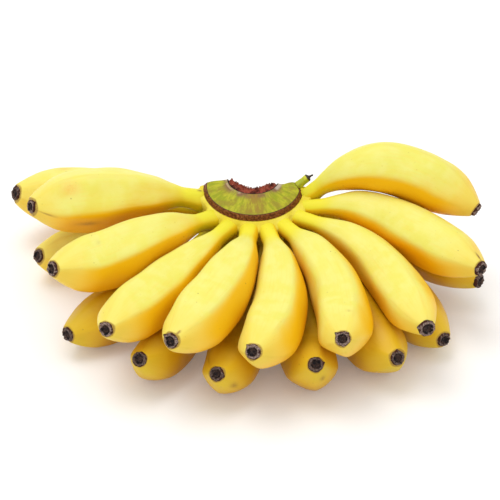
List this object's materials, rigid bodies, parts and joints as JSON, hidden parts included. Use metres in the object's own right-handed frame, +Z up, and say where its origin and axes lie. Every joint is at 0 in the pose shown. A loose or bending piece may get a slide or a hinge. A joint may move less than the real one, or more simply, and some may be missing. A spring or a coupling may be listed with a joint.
{
  "type": "banana hand",
  "caption": "Hand of small chubby bananas in two staggered rows, fanned from one green crown, lying on its lower row",
  "frame": {"origin": "the bottom centre of the hand's box, on the surface that the hand lies on", "axes": "+Z up, the bananas fan out towards -Y, +X to the right and along the hand's longest extent"},
  "size_m": [0.291, 0.1956, 0.0938],
  "materials": {
    "peel_upper": "smooth ripe banana peel, lemon yellow, softly glossy",
    "peel_lower": "smooth ripe banana peel, deeper yellow, softly glossy",
    "dried_flower": "dry rough dark brown flower remnant",
    "crown": "green crown skin with a brown bract scar and a dark dry cut face",
    "spur": "green skin with a dry black tip"
  },
  "bodies": {
    "root": {"finger_upper_1": "peel_upper", "finger_upper_2": "peel_upper", "finger_upper_3": "peel_upper", "finger_upper_4": "peel_upper", "finger_upper_5": "peel_upper", "finger_upper_6": "peel_upper", "finger_upper_7": "peel_upper", "finger_upper_8": "peel_upper", "finger_upper_9": "peel_upper", "finger_lower_1": "peel_lower", "finger_lower_2": "peel_lower", "finger_lower_3": "peel_lower", "finger_lower_4": "peel_lower", "finger_lower_5": "peel_lower", "finger_lower_6": "peel_lower", "finger_lower_7": "peel_lower", "finger_lower_8": "peel_lower", "finger_lower_9": "peel_lower", "blossom_end_upper_1": "dried_flower", "blossom_end_upper_2": "dried_flower", "blossom_end_upper_3": "dried_flower", "blossom_end_upper_4": "dried_flower", "blossom_end_upper_5": "dried_flower", "blossom_end_upper_6": "dried_flower", "blossom_end_upper_7": "dried_flower", "blossom_end_upper_8": "dried_flower", "blossom_end_upper_9": "dried_flower", "blossom_end_lower_1": "dried_flower", "blossom_end_lower_2": "dried_flower", "blossom_end_lower_3": "dried_flower", "blossom_end_lower_4": "dried_flower", "blossom_end_lower_5": "dried_flower", "blossom_end_lower_6": "dried_flower", "blossom_end_lower_7": "dried_flower", "blossom_end_lower_8": "dried_flower", "blossom_end_lower_9": "dried_flower", "crown": "crown", "undeveloped_finger": "spur"}
  },
  "joints": []
}
